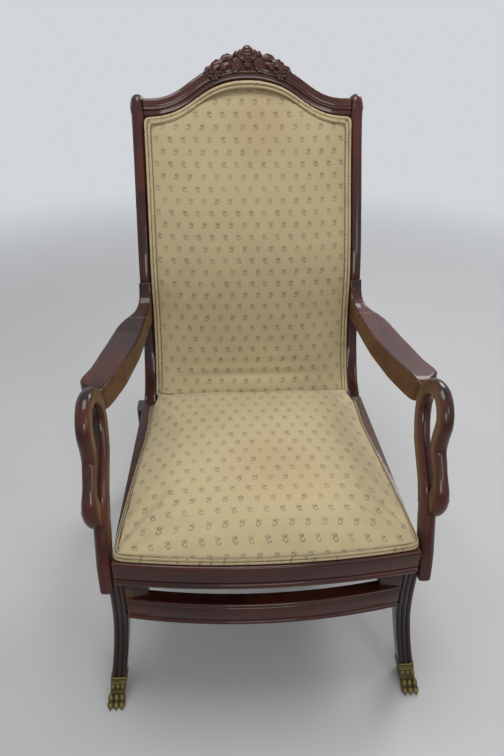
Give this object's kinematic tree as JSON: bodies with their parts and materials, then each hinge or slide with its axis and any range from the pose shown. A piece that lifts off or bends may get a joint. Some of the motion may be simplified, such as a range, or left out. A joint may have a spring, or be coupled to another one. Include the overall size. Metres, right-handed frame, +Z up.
{
  "type": "platform rocker",
  "caption": "Upholstered rocking armchair whose seat and back rock on curved cams over a fixed base with sabre legs and brass paw feet.",
  "frame": {"origin": "floor level, under the middle of the chair's bounding box", "axes": "+X to the right of someone facing the chair, +Y towards its back, +Z up"},
  "size_m": [0.642, 0.815, 1.0867],
  "materials": {
    "mahogany": "dark red-brown gloss varnish, worn on the edges",
    "brass": "aged, dull in the hollows",
    "spring_steel": "oiled",
    "upholstery": "khaki-gold woven cotton with small sprigs",
    "jute": "woven webbing",
    "cambric": "thin black cambric"
  },
  "bodies": {
    "base": {"front_leg_left": "mahogany", "front_leg_right": "mahogany", "rear_leg_left": "mahogany", "rear_leg_right": "mahogany", "front_paw_left": "brass", "front_paw_right": "brass", "rear_paw_left": "brass", "rear_paw_right": "brass", "base_rail_left": "mahogany", "base_rail_right": "mahogany", "front_stretcher": "mahogany", "rear_stretcher": "mahogany", "base_corner_blocks": "mahogany", "lower_spring_bracket_left": "spring_steel", "lower_spring_bracket_right": "spring_steel", "lower_bracket_bolts": "spring_steel", "spring_pair_left": "spring_steel", "spring_pair_right": "spring_steel"},
    "chair": {"rocker_cam_left": "mahogany", "rocker_cam_right": "mahogany", "seat_rail_left": "mahogany", "seat_rail_right": "mahogany", "seat_front_rail": "mahogany", "seat_rear_rail": "mahogany", "seat_corner_blocks": "mahogany", "back_post_left": "mahogany", "back_post_right": "mahogany", "crest_rail": "mahogany", "crest_carving": "mahogany", "lower_back_rail": "mahogany", "arm_left": "mahogany", "arm_right": "mahogany", "arm_dowels": "mahogany", "goose_neck_left": "mahogany", "goose_neck_right": "mahogany", "upper_spring_bracket_left": "spring_steel", "upper_spring_bracket_right": "spring_steel", "upper_bracket_bolts": "spring_steel", "goose_neck_screws": "spring_steel", "seat_cushion": "upholstery", "back_cushion": "upholstery", "back_panel": "upholstery", "seat_webbing": "jute", "back_webbing": "jute", "seat_dust_cover": "cambric"}
  },
  "joints": [
    {"name": "rock", "type": "hinge", "parent": "base", "child": "chair", "pos_m": [0, -0.049, 0.36], "axis": [1, 0, 0], "range_deg": [-10, 8], "stiffness_Nm_per_rad": 260, "springref_deg": 1.84, "deforming": ["spring_pair_left", "spring_pair_right"]}
  ]
}
